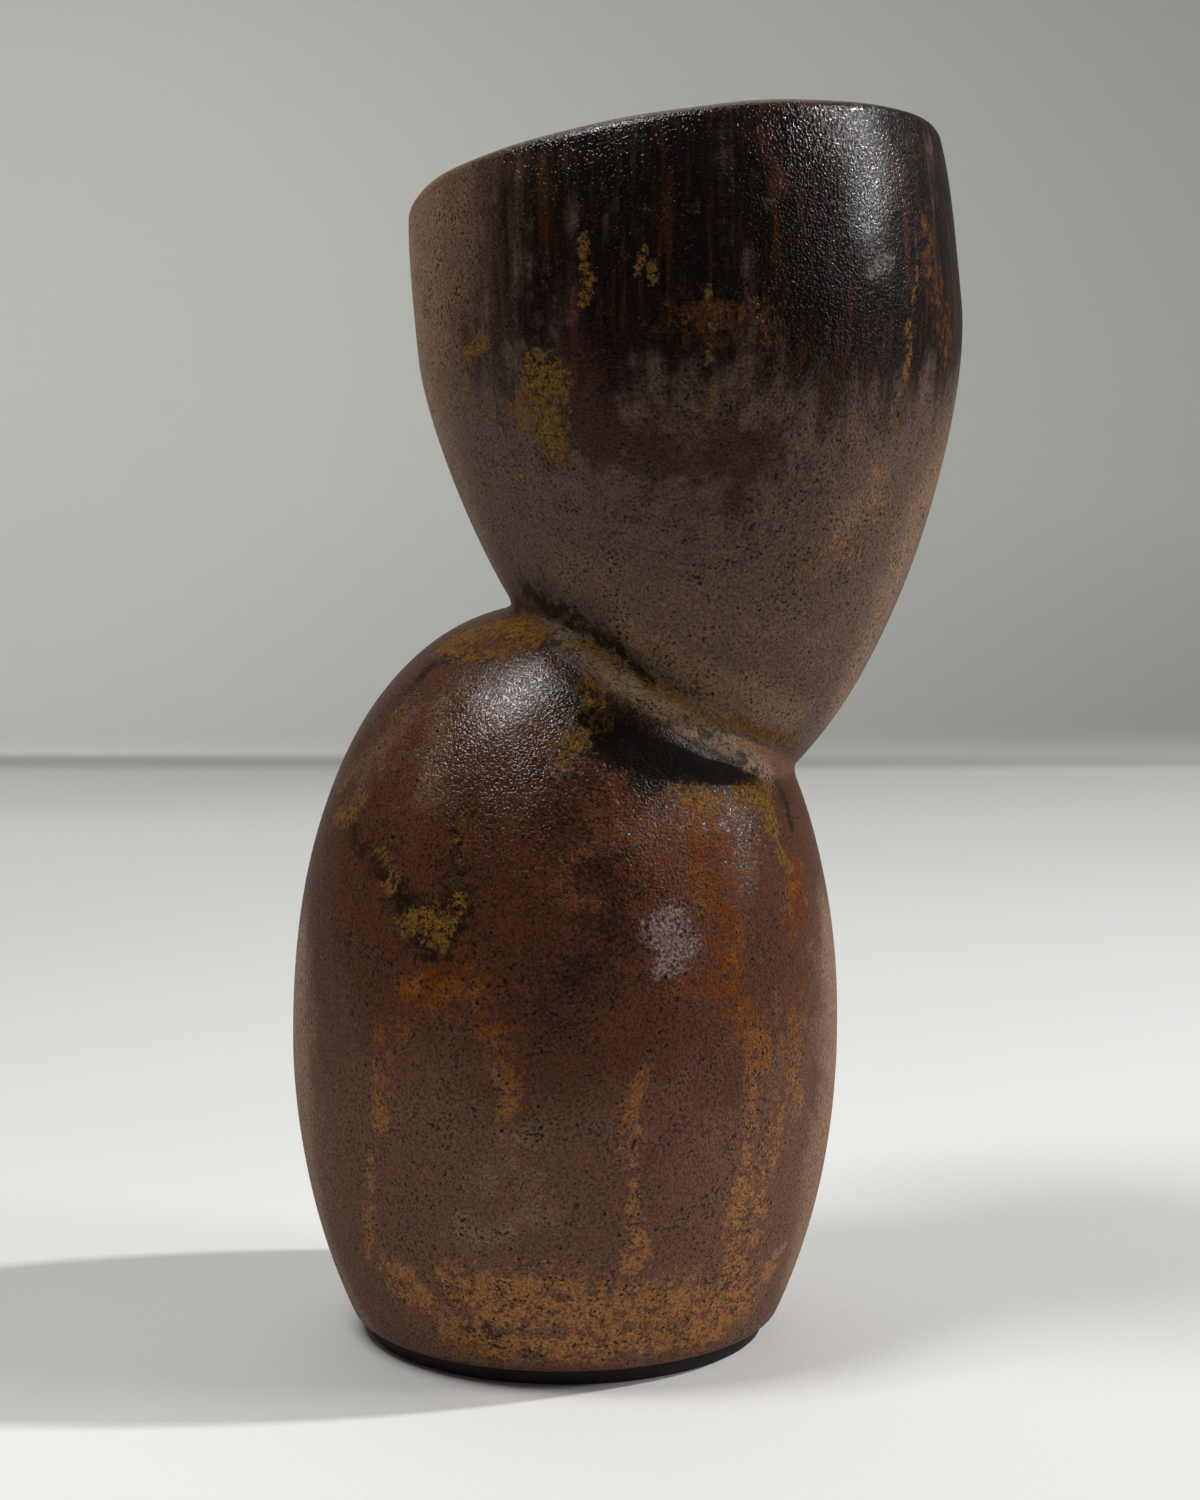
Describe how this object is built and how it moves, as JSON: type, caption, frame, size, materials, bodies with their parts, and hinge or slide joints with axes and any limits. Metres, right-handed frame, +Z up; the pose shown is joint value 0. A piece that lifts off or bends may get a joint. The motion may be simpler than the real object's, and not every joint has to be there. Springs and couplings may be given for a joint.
{
  "type": "stoneware vase",
  "caption": "Hand-built stoneware vase: an egg-shaped body carries a leaning pointed cup on a slanted neck, hollow throughout, with a slanted rim and a low foot ring.",
  "frame": {"origin": "centre of the bounding box's bottom, on the table that the foot ring stands on", "axes": "+Z up, +X towards the side that the cup leans over, -Y towards the front"},
  "size_m": [0.1414, 0.1166, 0.2518],
  "materials": {
    "foot_glaze": "dark matte wash",
    "bare_clay": "bare fired stoneware",
    "body_glaze": "satin umber glaze with rust runs",
    "collar_glaze": "dusty ash glaze",
    "cup_glaze": "satin black-brown glaze over purple-brown",
    "lip_glaze": "thin brown glaze"
  },
  "bodies": {
    "root": {"foot_ring": "foot_glaze", "floor_slab": "bare_clay", "floor_seam_coil": "bare_clay", "base_bowl": "body_glaze", "shoulder_dome": "body_glaze", "neck_collar": "collar_glaze", "neck_seam_coil": "bare_clay", "cup_cone": "cup_glaze", "cup_band": "cup_glaze", "rim_lip": "lip_glaze"}
  },
  "joints": []
}
